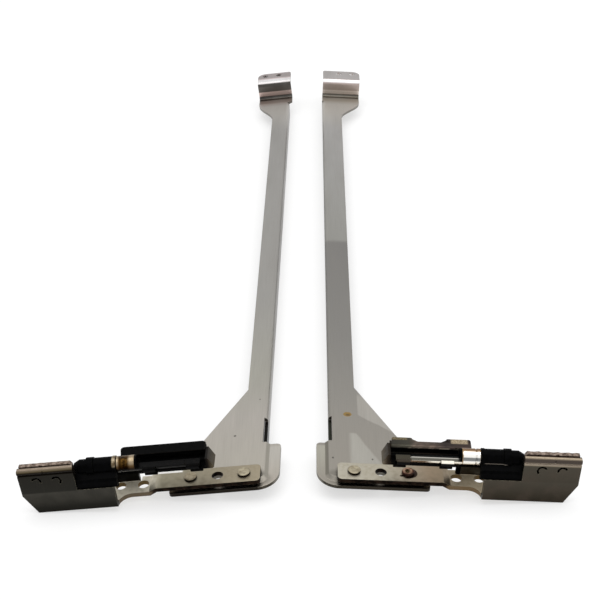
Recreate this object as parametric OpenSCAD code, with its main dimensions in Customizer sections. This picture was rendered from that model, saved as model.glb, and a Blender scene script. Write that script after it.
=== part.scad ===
/* [Pair] */
// Half of the space between the two rails where the arms cross them
half_gap = 7; // [6:0.2:20]
// Angle by which each rail leans towards the middle plane
toe_in = 0.5; // [0:0.1:1.5]
// Angle by which each arm drops towards its outer end as the hinge lies
rest_roll = 4.8; // [4:0.1:6]

/* [Rail] */
// Length of the rail from the front edge of the arm to the foot of the tab
rail_len = 204; // [150:0.5:240]
// Width of the left rail
left_rail_w = 5.3; // [5:0.1:8]
// Width of the right rail
right_rail_w = 6.4; // [5:0.1:8]
// Sheet thickness of the rail
rail_t = 0.8; // [0.6:0.05:1]
// Inside radius of the folds of the rail
rail_bend_r = 0.3; // [0.2:0.1:0.8]
// Length of the gusset that carries the arm
gusset_len = 35.3; // [30:0.5:45]
// Depth by which the corner flange is set below the rail
flange_drop = 0.8; // [0.8:0.05:1.2]
// Width of the corner flange beside the rail
flange_side = 2.9; // [2.5:0.1:3.4]
// Width of the corner flange in front of the arm
flange_front = 0.7; // [0.6:0.1:1.4]
// Radius of the front corner of the flange
flange_corner_r = 5.2; // [3:0.1:5.6]

/* [Tab] */
// Width of the left tab
left_tab_w = 11.2; // [10:0.1:14]
// Width of the right tab
right_tab_w = 12.4; // [10:0.1:14]
// Height of the top of the tab above the rail
tab_rise = 5.9; // [4.5:0.1:8]
// Length of the top of the tab
tab_len = 6.7; // [6:0.1:12]
// Diameter of the two holes in the tab
tab_hole_d = 1.9; // [1.6:0.1:2.2]
// Distance between the two holes in the tab
tab_hole_pitch = 4.6; // [4:0.1:5]

/* [Arm] */
// Width of the arm strip
arm_w = 5.6; // [5:0.1:7]
// Sheet thickness of the arm
arm_t = 1.1; // [0.9:0.05:1.2]
// Drop of the arm beyond its joggle
joggle_drop = 0.9; // [0.5:0.05:1]
// Diameter of the screw holes in the arm
screw_hole_d = 2.6; // [2.2:0.1:3]
// Diameter of the hole at the edge of the arm
edge_hole_d = 2.4; // [2.2:0.1:2.6]
// Diameter of the shank of a rivet
rivet_d = 1.8; // [1.5:0.1:2]
// Diameter of the head of a rivet
rivet_head_d = 2.9; // [2.6:0.1:3.4]
// Height of the outer plate of the arm
plate_h = 12.35; // [12:0.05:13]
// Height of the plate under the clutch
crease_h = 5.8; // [5:0.1:6]
// Distance from the rail to the outer end of the plate
plate_end = 54.2; // [52:0.2:58]

/* [Clutch and shaft] */
// Height of the shaft axis above the rail
axis_h = 8.4; // [8.2:0.1:9]
// Distance from the shaft axis forward to the face of the outer plate
plate_reach = 3.6; // [3.4:0.1:4]
// Outer diameter of the clutch housing
clutch_d = 3.7; // [3.6:0.05:3.8]
// Length of the clutch housing
clutch_len = 9.5; // [8.5:0.1:9.7]
// Diameter of the shaft collar
collar_d = 3.6; // [3.4:0.05:3.6]
// Diameter of the shaft inside the clutch
journal_d = 2.2; // [2:0.05:2.4]
// Radial clearance between the shaft and the friction clip
run_clear = 0.02; // [0.02:0.01:0.04]

/* [Leaf] */
// Length of the turning leaf
leaf_len = 16.6; // [16:0.1:17]
// Sheet thickness of the leaf
leaf_t = 0.7; // [0.6:0.05:0.8]
// Width of the flange along the back of the leaf
leaf_flange = 1.9; // [1.6:0.1:2.4]
// Length by which the two tabs of the leaf stand out from its flange
leaf_tab = 1.25; // [0.8:0.05:1.5]

/* [Hidden] */
$fn = 64;
eps = 0.01;
overlap = 0.05;

// Outer edge of the rail, from the same line as the places along the arm
rail_edge = 6.2;
tab_in = -0.1;

// Places along the rail, from the plane of the shaft axis
flange_end = 14.4;
wall_start = 23.6;
curve_back = 17.2;
curve_start = rail_len - curve_back;
curve_len = 12;
wall_end = rail_len - 5;
step_v = 1.6;
corner_r = 1.6;
tab_hole_end = 1.95;

// Places along the arm, from the line beside which the gusset starts
strip_start = 1.6;
rivet_inner_u = 5.3;
boss_hole_u = 11.3;
rivet_outer_u = 17.4;
gusset_end = 21.8;
gusset_square = 4.6;
joggle_start = 25;
joggle_len = 1.6;
screw_hole_u = 28.3;
edge_hole_u = 33.4;
edge_hole_v = 2.3;
lug_start = 29.2;
lug_front = 3.65;
lug_end = 35;
lug_slit = 0.4;
plate_start = 33.5;
clutch_start = 32.6;
outer_plate_start = clutch_start + clutch_len - 0.45;
tail_end = outer_plate_start - 0.05;
chamfer_u = 2.8;
chamfer_w = 5.2;
foot_end = plate_end - chamfer_u;

// Folds of the tab and of the floor behind the outer plate
tab_bend_r = rail_bend_r + 0.5;
floor_back = -0.3;

// Levels, from the top face of the rail
arm_top = arm_t;
outer_top = arm_top - joggle_drop;
plate_base = outer_top - arm_t;
crease_top = plate_base + crease_h;
plate_top = plate_base + plate_h;
lug_top = axis_h - 3.2;
side_wall_h = foot_end * tan(rest_roll) - plate_base;
rest_lift = side_wall_h * cos(rest_roll);
mid_v = (rail_len + tab_len - plate_reach) / 2;

// Depths of the plates from the shaft axis
plate_front = -plate_reach;
plate_back = plate_front + arm_t;
backing_t = 1;
tail_t = 0.9;
tail_bottom = crease_top - 0.8;
strip_front = -0.5;
row_v = strip_front + arm_w / 2;

// Marks on the outer plate
bead_nick_u = (outer_plate_start + plate_end) / 2 + 0.3;
clinch_places = [[outer_plate_start + 4.1, 65], [outer_plate_start + 8.6, 30]];
clinch_w = crease_top + 3.1;
clinch_r = 1.25;
slit_w = 0.5;
slit_depth = 0.6;
bead_r = 0.85;

// Turning set
journal_r = journal_d / 2;
clip_bore_r = journal_r + run_clear;
housing_bore_r = clutch_d / 2 - 0.35;
neck_r = 0.75;
ring_r = housing_bore_r - 0.15;
ring_t = 0.5;
end_cap_t = 1.3;
collar_gap = 0.1;
cavity_end = clutch_start + clutch_len - end_cap_t;
pin_end = cavity_end - 0.15;
ring_u = pin_end - 0.35 - ring_t;
clip_start = clutch_start + 0.4;
clip_end = ring_u - 0.1;
leaf_start = 11.4;
leaf_slant = 1.3;
leaf_reach = 2.8;
tongue_start = 13.9;
collar_start = leaf_start + leaf_len + 0.4;
channel_back = collar_d / 2 + 0.4;
channel_floor = -collar_d / 2;
leaf_wall_h = 0.35;
tongue_flat = axis_h - 0.2;
tongue_back = 0.1;

// Half-plane limit for clipping
far = 300;

function rail_w(side) = side == "left" ? left_rail_w : right_rail_w;
function rail_in(side) = rail_edge - rail_w(side);
function flange_in(side) = rail_in(side) / 2 - flange_side;
function tab_out(side) = tab_in + (side == "left" ? left_tab_w : right_tab_w);
function arc(cx, cy, r, a0, a1, n = 12) =
    [for (i = [0:n]) let (a = a0 + (a1 - a0) * i / n) [cx + r * cos(a), cy + r * sin(a)]];
function ease(x) = (1 - cos(180 * x)) / 2;

// Puts one hinge in its place in the pair
module place(side) {
    mirror([side == "left" ? 1 : 0, 0, 0])
        translate([half_gap, -mid_v, rest_lift])
            rotate([0, 0, toe_in])
                rotate([0, rest_roll, 0])
                    children();
}

// Profile drawn in the depth and height of the hinge, run along the arm
module along_arm(from, to) {
    translate([from, 0, 0])
        rotate([90, 0, 90])
            linear_extrude(to - from)
                children();
}

// Profile drawn across the hinge and in its height, run along the rail
module along_rail(from, to) {
    translate([0, to, 0])
        rotate([90, 0, 0])
            linear_extrude(to - from)
                children();
}

// Round bar along the shaft axis
module bar(r, from, to) {
    translate([from, 0, axis_h])
        rotate([0, 90, 0])
            cylinder(r = r, h = to - from);
}

// Upright cutter for a hole in a sheet
module drill(u, v, d) {
    translate([u, v, -far / 2])
        cylinder(d = d, h = far);
}

// Plan of the rail, its gusset and the widening before the tab
module rail_plan(side) {
    u0 = rail_in(side);
    tw = tab_out(side);
    foot = rail_len - tab_bend_r - rail_t;
    polygon(concat(
        arc(u0 + corner_r, step_v + corner_r, corner_r, 180, 270),
        arc(gusset_end - 1.2, step_v + 1.2, 1.2, -90, 0, 6),
        [[gusset_end, gusset_square], [rail_edge, gusset_len]],
        [for (i = [0:12]) let (s = i / 12)
            [rail_edge + (tw - rail_edge) * ease(s), curve_start + curve_len * s]],
        [[tw, foot], [tab_in, foot], [tab_in, wall_end + 1], [u0, wall_end]]));
}

// Section of the folded wall, which stands upright on the floor as the hinge lies
module side_wall_section(side) {
    r = rail_bend_r;
    R = r + rail_t;
    lean = rest_roll;
    top = [R - R * cos(lean), -R - R * sin(lean)];
    run = (top[1] + side_wall_h - (rail_in(side) + top[0]) * tan(lean)) * cos(lean);
    foot = top + run * [sin(lean), -cos(lean)];
    across = rail_t * [cos(lean), sin(lean)];
    polygon(concat(
        [[R, 0]],
        arc(R, -R, R, 90, 180 + lean),
        [foot, foot + across],
        arc(R, -R, r, 180 + lean, 90)));
}

// Section of the tab, folded up and then back
module tab_section() {
    r = tab_bend_r;
    R = r + rail_t;
    foot = rail_len - R;
    polygon(concat(
        [[foot - overlap, 0], [foot - overlap, -rail_t], [foot, -rail_t]],
        arc(foot, -rail_t + R, R, -90, 0),
        arc(foot + R + r, tab_rise - R, r, 180, 90),
        [[rail_len + tab_len, tab_rise - rail_t], [rail_len + tab_len, tab_rise]],
        arc(foot + R + r, tab_rise - R, R, 90, 180),
        arc(foot, -rail_t + R, r, 0, -90)));
}

// Plan that rounds the corners of the tab
module tab_plan(side) {
    u0 = tab_in;
    u1 = tab_out(side);
    r = 2.6;
    small_r = 0.8;
    end = rail_len + tab_len;
    polygon(concat(
        [[u0, rail_len - 6], [u1, rail_len - 6]],
        arc(u1 - r, end - r, r, 0, 90),
        arc(u0 + small_r, end - small_r, small_r, 90, 180, 6)));
}

// Plan of the lowered flange around the inner front corner
module flange_plan(side) {
    u0 = rail_in(side);
    ui = flange_in(side);
    r = flange_corner_r;
    polygon(concat(
        [[gusset_end + 0.6, step_v]],
        arc(u0 + corner_r, step_v + corner_r, corner_r, 270, 180),
        [[u0, flange_end]],
        arc(ui + 1, flange_end - 1, 1, 90, 180, 6),
        arc(ui + r, -flange_front + r, r, 180, 270),
        arc(gusset_end - 0.2, -flange_front + 0.8, 0.8, -90, 0, 6)));
}

module rail(side) {
    u0 = rail_in(side);
    fold = rail_bend_r + rail_t;
    color("silver") place(side) difference() {
        union() {
            translate([0, 0, -rail_t])
                linear_extrude(rail_t)
                    difference() {
                        rail_plan(side);
                        translate([u0 - 1, flange_end])
                            square([1 + rail_t, wall_start - flange_end]);
                        translate([u0 - 1, wall_start - eps])
                            square([1 + fold - overlap, wall_end - wall_start + eps]);
                    }
            translate([u0, 0, 0])
                along_rail(wall_start, wall_end)
                    side_wall_section(side);
            translate([u0, 0, 0])
                along_rail(flange_end - rail_t, wall_start + overlap)
                    intersection() {
                        side_wall_section(side);
                        translate([-far, -far - fold])
                            square([2 * far, far]);
                    }
            intersection() {
                along_arm(tab_in, tab_out(side))
                    tab_section();
                translate([0, 0, -2])
                    linear_extrude(20)
                        tab_plan(side);
            }
            translate([0, 0, -flange_drop - rail_t])
                linear_extrude(rail_t)
                    flange_plan(side);
            corner_step(u0);
        }
        drill(rivet_inner_u, row_v, rivet_d);
        drill(boss_hole_u, row_v, screw_hole_d);
        drill(rivet_outer_u, row_v, rivet_d);
        for (u = [rivet_inner_u, rivet_outer_u])
            rivet_relief(u);
        tab_holes(side);
    }
}

// Room in the lowered flange for the closing head of a rivet
module rivet_relief(u) {
    translate([u, row_v, -far - rail_t])
        cylinder(d = rivet_head_d + 0.2, h = far);
}

// Sloped step between the rail and its lowered flange, round at the corner
module corner_step(u0) {
    ramp = 0.9;
    section = [[0, 0], [-ramp, -flange_drop], [-ramp, -flange_drop - rail_t],
               [0, -flange_drop - rail_t], [rail_t + 0.4, -rail_t], [rail_t + 0.4, 0]];
    translate([u0, 0, 0])
        along_rail(step_v + corner_r, flange_end)
            polygon(section);
    translate([0, step_v, 0])
        along_arm(u0 + corner_r, gusset_end - 1.2)
            polygon(section);
    translate([u0 + corner_r, step_v + corner_r, 0])
        intersection() {
            rotate_extrude()
                polygon([for (p = section) [corner_r - p[0], p[1]]]);
            translate([-far, -far, -far])
                cube([far, far, 2 * far]);
        }
}

// Two screw holes in the top of the tab
module tab_holes(side) {
    for (i = [0, 1])
        drill(tab_out(side) - 2.5 - i * tab_hole_pitch, rail_len + tab_len - tab_hole_end, tab_hole_d);
}

// Plan of the arm strip with its round inner end and flared outer end
module arm_plan() {
    back = strip_front + arm_w;
    r = 1;
    flare_r = strip_front - plate_front;
    polygon(concat(
        arc(strip_start + r, strip_front + r, r, 180, 270, 8),
        arc(plate_start - flare_r, plate_front, flare_r, 90, 0),
        [[foot_end, plate_front], [foot_end, floor_back], [lug_end, floor_back],
         [lug_end, lug_front], [lug_start - lug_slit, lug_front], [lug_start - lug_slit, back]],
        arc(strip_start + r, back - r, r, 90, 180, 8)));
}

// Section of the strip along its length, with the joggle
module arm_section() {
    j0 = joggle_start;
    j1 = joggle_start + joggle_len;
    polygon([
        [0, 0], [j0, 0], [j1, plate_base], [foot_end + 1, plate_base],
        [foot_end + 1, outer_top], [j1 + 0.2, outer_top], [j0 + 0.2, arm_top], [0, arm_top]]);
}

// Fillet inside the fold between the floor and the outer plate
module plate_fold() {
    r = 0.5;
    polygon(concat(
        [[plate_back - overlap, outer_top - overlap]],
        arc(plate_back + r, outer_top + r, r, 270, 180, 6)));
}

// Section of the lug that is folded up behind the clutch
module lug_section() {
    r = 0.3;
    R = 1.2;
    back = lug_front + arm_t;
    polygon(concat(
        [[lug_front - r, plate_base]],
        arc(back - R, plate_base + R, R, -90, 0, 8),
        [[back, lug_top], [lug_front, lug_top]],
        arc(lug_front - r, outer_top + r, r, 0, -90, 6)));
}

// Outline of the outer plate seen from the front
module plate_outline() {
    r = 0.4;
    polygon(concat(
        [[plate_start, plate_base], [foot_end, plate_base], [plate_end, plate_base + chamfer_w]],
        arc(plate_end - r, plate_top - r, r, 0, 90, 6),
        [[outer_plate_start, plate_top], [outer_plate_start, crease_top],
         [plate_start, crease_top]]));
}

// Round bead along the top of the outer plate
module bead_section() {
    low = plate_top - 2 * bead_r;
    polygon(concat(
        [[plate_back, low - 0.1], [plate_front, low - 0.1], [plate_front, low], [plate_front + 0.2, low + 0.1]],
        arc(plate_front + 0.8, plate_top - bead_r, bead_r, 228, 75),
        [[plate_back, plate_top - 0.1]]));
}

module arm_bracket(side) {
    color("tan") place(side) difference() {
        union() {
            intersection() {
                translate([0, 0, -2])
                    linear_extrude(6)
                        arm_plan();
                translate([0, far / 2, 0])
                    rotate([90, 0, 0])
                        linear_extrude(far)
                            arm_section();
            }
            along_arm(plate_start, foot_end)
                plate_fold();
            along_arm(lug_start, lug_end)
                lug_section();
            translate([0, plate_back, 0])
                rotate([90, 0, 0])
                    linear_extrude(arm_t)
                        difference() {
                            plate_outline();
                            translate([0, plate_top - 2 * bead_r - overlap])
                                square([far, far]);
                        }
            intersection() {
                along_arm(outer_plate_start, plate_end)
                    bead_section();
                translate([0, 5, 0])
                    rotate([90, 0, 0])
                        linear_extrude(10)
                            plate_outline();
            }
        }
        arm_front_cut();
        drill(rivet_inner_u, row_v, rivet_d);
        drill(boss_hole_u, row_v, screw_hole_d);
        drill(rivet_outer_u, row_v, rivet_d);
        drill(screw_hole_u, row_v, screw_hole_d);
        translate([edge_hole_u, edge_hole_v, plate_base - 1])
            cylinder(d = edge_hole_d, h = arm_t + 1.1);
        for (c = clinch_places)
            clinch_slit(c[0], c[1]);
        translate([bead_nick_u, plate_front - 1, plate_top - 1.6])
            cube([0.22, 1.1, 1.2]);
    }
}

// Rounds the bottom edge of the outer plate
module arm_front_cut() {
    r = 0.35;
    along_arm(plate_start - eps, foot_end + 1)
        polygon(concat(
            [[plate_front - 1, plate_base - 1]],
            [[plate_front - 1, plate_base + r], [plate_front, plate_base + r]],
            arc(plate_front + r, plate_base + r, r, 180, 270),
            [[plate_front + r, plate_base - 1]]));
}

// Curved slit over a clinch that joins the two plates, with one leg longer by an angle
module clinch_slit(u, leg) {
    translate([u, plate_front + slit_depth, clinch_w])
        rotate([90, 0, 0])
            linear_extrude(slit_depth + 1)
                polygon(concat(
                    arc(0, 0, clinch_r, 25, 165 + leg),
                    arc(0, 0, clinch_r - slit_w, 165 + leg, 25)));
}

// Second sheet behind the outer plate, with a torn upper rim
module backing_plate(side) {
    first = outer_plate_start + 0.1;
    last = plate_end - 0.5;
    low = outer_top + 1.2;
    rim = plate_top + 0.25;
    wave = side == "right" ? 0.1 : 0.03;
    steps = 14;
    color("rosybrown") place(side)
        translate([0, plate_back + backing_t, 0])
            rotate([90, 0, 0])
                linear_extrude(backing_t)
                    polygon(concat(
                        [[first, low], [foot_end - 0.6, low], [last, plate_base + chamfer_w + 0.6]],
                        [for (i = [0:steps])
                            [last - (last - first - 0.5) * i / steps, rim + wave * sin(137 * i)]],
                        [[first, rim - 0.6]]));
}

// Rivet with a low head on the arm and a flat closing head below the gusset
module rivet(u, side, head_h, dish) {
    foot_h = 0.4;
    r = rivet_head_d / 2;
    top = arm_top + head_h;
    color("dimgray") place(side)
        translate([u, row_v, 0])
            rotate_extrude()
                polygon([
                    [0, -rail_t - foot_h], [r - 0.2, -rail_t - foot_h], [r - 0.1, -rail_t],
                    [rivet_d / 2, -rail_t], [rivet_d / 2, arm_top], [r, arm_top],
                    [r, top - 0.15], [r - 0.15, top], [r * 0.55, top], [r * 0.3, top - dish],
                    [0, top - dish]]);
}

module clutch_housing(side) {
    r = clutch_d / 2;
    ridge_u = clutch_start + clutch_len * 0.53;
    color([0.06, 0.06, 0.07]) place(side) difference() {
        union() {
            translate([clutch_start, 0, axis_h])
                rotate([0, 90, 0])
                    rotate_extrude()
                        polygon([
                            [0, 0], [r, 0], [r, 4.9], [r - 0.12, 5.1], [r - 0.12, clutch_len - 1.2],
                            [r - 0.8, clutch_len], [0, clutch_len]]);
            bar(r + 0.2, ridge_u, ridge_u + 1.6);
            bar(r + 0.12, clutch_start, clutch_start + 0.7);
            along_arm(clutch_start, tail_end)
                tail_section();
        }
        bar(housing_bore_r, clutch_start - eps, cavity_end);
    }
}

// Section of the flat tail that leaves the barrel and runs down behind the plate
module tail_section() {
    r = clutch_d / 2 - 0.12;
    lean = 200;
    face = plate_front + 0.25;
    polygon([
        [r * cos(lean), axis_h + r * sin(lean)], [face + 0.3, crease_top + 2.2],
        [face, crease_top + 1.5], [face, crease_top], [plate_back, crease_top],
        [plate_back, tail_bottom], [plate_back + tail_t, tail_bottom],
        [plate_back + tail_t, crease_top + 0.6], [0, axis_h - r], [0, axis_h]]);
}

// Split sleeve that grips the shaft inside the clutch
module friction_clip(side) {
    color("gray") place(side) difference() {
        bar(housing_bore_r, clip_start, clip_end);
        bar(clip_bore_r, clip_start - 1, clip_end + 1);
        translate([clip_start - 1, -0.3, axis_h])
            cube([clutch_len + 2, 0.6, 3]);
    }
}

module shaft(side) {
    r = collar_d / 2;
    color("lightgray") place(side) difference() {
        union() {
            intersection() {
                bar(r, tongue_start, collar_start + 0.2);
                translate([0, -5, tongue_flat - 5])
                    cube([far, 5 + tongue_back, 5]);
            }
            translate([collar_start, 0, axis_h])
                rotate([0, 90, 0])
                    rotate_extrude()
                        polygon(collar_profile(r));
            bar(journal_r, clutch_start - collar_gap - eps, ring_u);
            bar(neck_r, ring_u - eps, ring_u + ring_t + eps);
            bar(journal_r, ring_u + ring_t, pin_end);
        }
        translate([tongue_start + 3.2, -3, tongue_flat - 0.12])
            cube([0.2, 6, 1]);
    }
}

// Outline of the collar with its fine turned groove
function collar_profile(r) =
    let (l = clutch_start - collar_gap - collar_start, g = l - 1.2)
    [[0, 0], [r, 0], [r, g], [r - 0.15, g + 0.1], [r - 0.15, g + 0.25], [r, g + 0.35],
     [r, l - 0.15], [r - 0.15, l], [0, l]];

module retaining_ring(side) {
    color("gray") place(side) difference() {
        bar(ring_r, ring_u, ring_u + ring_t);
        bar(neck_r, ring_u - 1, ring_u + ring_t + 1);
    }
}

// Section of the leaf: a channel under the tongue, a back wall and a flange folded back
module leaf_section() {
    t = leaf_t;
    r = 0.9;
    R = r + t;
    y0 = channel_back;
    z0 = channel_floor;
    top = leaf_wall_h;
    fold = 0.1;
    polygon(concat(
        [[-0.9, z0], [-0.9, z0 - t]],
        arc(y0 - r, z0 + r, R, -90, 0),
        arc(y0 + t + fold, top - t - fold, fold, 180, 90, 6),
        [[y0 + leaf_flange, top - t], [y0 + leaf_flange, top]],
        arc(y0 + t + fold, top - t - fold, fold + t, 90, 180, 8),
        arc(y0 - r, z0 + r, r, 0, -90)));
}

module leaf(side) {
    end = leaf_start + leaf_len;
    color([0.07, 0.07, 0.08]) place(side)
        translate([0, 0, axis_h]) {
            along_arm(leaf_start + leaf_slant, end)
                leaf_section();
            along_arm(end - overlap, end + leaf_reach)
                intersection() {
                    leaf_section();
                    translate([0, leaf_wall_h - leaf_t])
                        square([far, leaf_t]);
                }
            leaf_end_cap();
            leaf_tab(leaf_start + 1.8, leaf_start + 6.4, 0, leaf_tab);
            leaf_tab(end - 2.7, end + leaf_reach, leaf_tab, 0);
            leaf_foot(leaf_start + 2.7, leaf_start + 5.5);
            leaf_foot(end - 4.2, end - 1.4);
        }
}

// Slanted wall that closes the inner end of the leaf
module leaf_end_cap() {
    low = channel_floor - leaf_t;
    translate([0, channel_back + leaf_t + 0.4, 0])
        rotate([90, 0, 0])
            linear_extrude(channel_back + leaf_t + 1.3)
                polygon([
                    [leaf_start + leaf_slant + overlap, leaf_wall_h - 0.1],
                    [leaf_start + leaf_slant - 0.5, leaf_wall_h],
                    [leaf_start - 0.4, low + 0.3], [leaf_start, low],
                    [leaf_start + leaf_slant + overlap, low]]);
}

// Tab that stands out from the flange of the leaf, each side sloping by its own length
module leaf_tab(from, to, slope_in, slope_out) {
    r = 0.5;
    inner = channel_back + leaf_t + 0.1;
    edge = channel_back + leaf_flange - overlap;
    outer = channel_back + leaf_flange + leaf_tab;
    translate([0, 0, leaf_wall_h - leaf_t])
        linear_extrude(leaf_t)
            polygon(concat(
                [[from - slope_in, inner], [to + slope_out, inner], [to + slope_out, edge]],
                arc(to - r, outer - r, r, 0, 90, 6),
                arc(from + r, outer - r, r, 90, 180, 6),
                [[from - slope_in, edge]]));
}

// Crimped foot that wraps the front of the tongue
module leaf_foot(from, to) {
    t = leaf_t;
    r = collar_d / 2;
    along_arm(from, to)
        polygon(concat(
            arc(0, 0, r + t, 180, 262, 16),
            [[-0.4, channel_floor - t], [-0.4, channel_floor]],
            arc(0, 0, r, 262, 180, 16)));
}

rail("left");  // left_rail
arm_bracket("left");  // left_arm_bracket
backing_plate("left");  // left_backing_plate
rivet(rivet_inner_u, "left", 0.65, 0.05);  // left_inner_rivet
rivet(rivet_outer_u, "left", 0.55, 0.05);  // left_outer_rivet
clutch_housing("left");  // left_clutch_housing
friction_clip("left");  // left_friction_clip
shaft("left");  // left_shaft
retaining_ring("left");  // left_retaining_ring
leaf("left");  // left_leaf
rail("right");  // right_rail
arm_bracket("right");  // right_arm_bracket
backing_plate("right");  // right_backing_plate
rivet(rivet_inner_u, "right", 0.6, 0.05);  // right_inner_rivet
rivet(rivet_outer_u, "right", 0.55, 0.35);  // right_outer_rivet
clutch_housing("right");  // right_clutch_housing
friction_clip("right");  // right_friction_clip
shaft("right");  // right_shaft
retaining_ring("right");  // right_retaining_ring
leaf("right");  // right_leaf
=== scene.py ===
import math

import bmesh
import bpy
from mathutils import Matrix, Vector


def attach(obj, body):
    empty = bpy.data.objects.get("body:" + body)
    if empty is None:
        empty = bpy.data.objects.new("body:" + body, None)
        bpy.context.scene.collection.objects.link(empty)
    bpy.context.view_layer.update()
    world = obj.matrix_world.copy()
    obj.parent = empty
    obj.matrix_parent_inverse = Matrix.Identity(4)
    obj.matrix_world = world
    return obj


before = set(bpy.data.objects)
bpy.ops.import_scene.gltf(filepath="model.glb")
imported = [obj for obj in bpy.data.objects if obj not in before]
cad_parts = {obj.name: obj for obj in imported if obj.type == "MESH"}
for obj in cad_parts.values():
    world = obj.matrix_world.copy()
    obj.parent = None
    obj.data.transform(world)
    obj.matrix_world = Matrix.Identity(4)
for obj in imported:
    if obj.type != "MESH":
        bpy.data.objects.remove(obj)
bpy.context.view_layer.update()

MM = 0.001
SIDES = ("left", "right")

# How each hinge lies in the pair, in millimetres and degrees
HALF_GAP = 7.0
TOE_IN = 0.5
REST_ROLL = 4.8
ARM_LINE_Y = -103.55
REST_LIFT = 5.198

# Places on the rail, in the frame of one hinge: u along the arm, v along the rail, w up
RAIL_LEN = 204.0
TAB_FOOT_V = RAIL_LEN - 1.6
TAB_TOP_W = 5.85
CORNER_V = 13.6
CORNER_W = -0.6
HOLLOW_AT = (1.0, 2.1)
LIP_U = (2.0, 22.6)
RAMP_V = (2.6, 14.2)
RAMP_W = (-0.72, -0.08)
LEG_V = (14.4, 23.4)
UPPER_WEDGE_LINE = ((6.8, 24.3), (15.0, 18.2))
LOWER_WEDGE_LINE = ((11.8, 6.5), (6.0, 17.6))
STAIN_AT = (4.35, 24.5)
STAIN_CORE_AT = (4.45, 24.3)

# Places on the arm and its outer plate
ARM_TOP_W = 1.1
ROW_V = 2.3
OUTER_RIVET_U = 17.4
RUST_FLECK_AT = (15.95, 1.3)
# Where a white highlight is painted along the back of the left strip
GLINT_U = (19.4, 25.8)
GLINT_V = 4.3
JOGGLE_END_U = 26.2
LUG_U = 28.9
PLATE_U = 33.5
PLATE_FRONT_V = -3.6
BACKING_RIM_W = 11.3
BEAD_V = -2.8
BEAD_W = 10.6

# Places on the clutch, shaft and leaf
AXIS_W = 8.4
SEAM_W = 7.98
SEAM_U = (33.4, 38.2)
WORN_RING_U = (32.4, 33.4)
COLLAR_U = (28.4, 32.5)
FOLD_U = 12.8
LEAF_FLANGE_V = 2.2
INNER_TAB_U = (13.0, 16.6)
OUTER_TAB_U = (24.9, 30.5)

# Sizes and places of the small forms added here
CRIMP_U = {"inner": 13.4, "outer": 23.6}
CRIMP_LEN = 2.8
CRIMP_V = -1.4
CRIMP_R = 0.42
SHOULDER_U = (27.96, 28.45)
SHOULDER_R = 1.78
STOP_U = (27.1, 28.36)
STOP_V = (2.32, 2.72)
STOP_W = (6.0, 8.7)
WEB_U = 41.2
WEB_REACH_U = {"left": 42.5, "right": 42.2}
WEB_V = (-1.35, 0.3)
FLANK_U = (28.2, 29.3)
FLANK_V = (3.75, 4.6)
FLANK_W = (-0.75, 5.05)
WRAP_U = (12.9, 31.9)
WRAP_V = (2.25, 5.45)
WRAP_CORNER = (31.4, 4.6)
WRAP_CORNER_R = 0.85
WRAP_HALF = 0.42

# Camera that took the photograph, in millimetres, degrees and pixels
CAMERA_PLACE = (11.2, -349.15, 211.2)
CAMERA_PITCH = 32.75
CAMERA_YAW = -2.14
CAMERA_ROLL = -2.52
FOCAL_PX = 1430.0
IMAGE_PX = 600.0
SENSOR_MM = 36.0

# Name, place and size in millimetres and watts of each lamp, all aimed at the middle of the floor
LAMPS = (("key", (-80, -40, 600), (600, 500), 1.5),
         ("fill", (320, -60, 480), (400, 400), 0.5))

# Half the floor in metres, its grey, and the share of plain white that the camera and metal see
FLOOR_REACH = 3.0
FLOOR_GREY = 0.94
FLOOR_GLOW = 0.55

# Strength of the white room: what falls on surfaces, and what the camera and metal see
ROOM_LIGHT = 0.85
ROOM_SEEN = 1.0


def tone(red, green, blue):
    """A colour given as 0 to 255 on the screen, in the values that a shader takes."""
    def linear(value):
        value /= 255.0
        return value / 12.92 if value <= 0.04045 else ((value + 0.055) / 1.055) ** 2.4
    return linear(red), linear(green), linear(blue)


def hinge_matrix(side):
    """Turns a place in the frame of one hinge into a place in the scene, both in metres."""
    mirror = Matrix.Scale(-1.0 if side == "left" else 1.0, 4, Vector((1, 0, 0)))
    move = Matrix.Translation(Vector((HALF_GAP, ARM_LINE_Y, REST_LIFT)) * MM)
    toe = Matrix.Rotation(math.radians(TOE_IN), 4, "Z")
    roll = Matrix.Rotation(math.radians(REST_ROLL), 4, "Y")
    return mirror @ move @ toe @ roll


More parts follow.
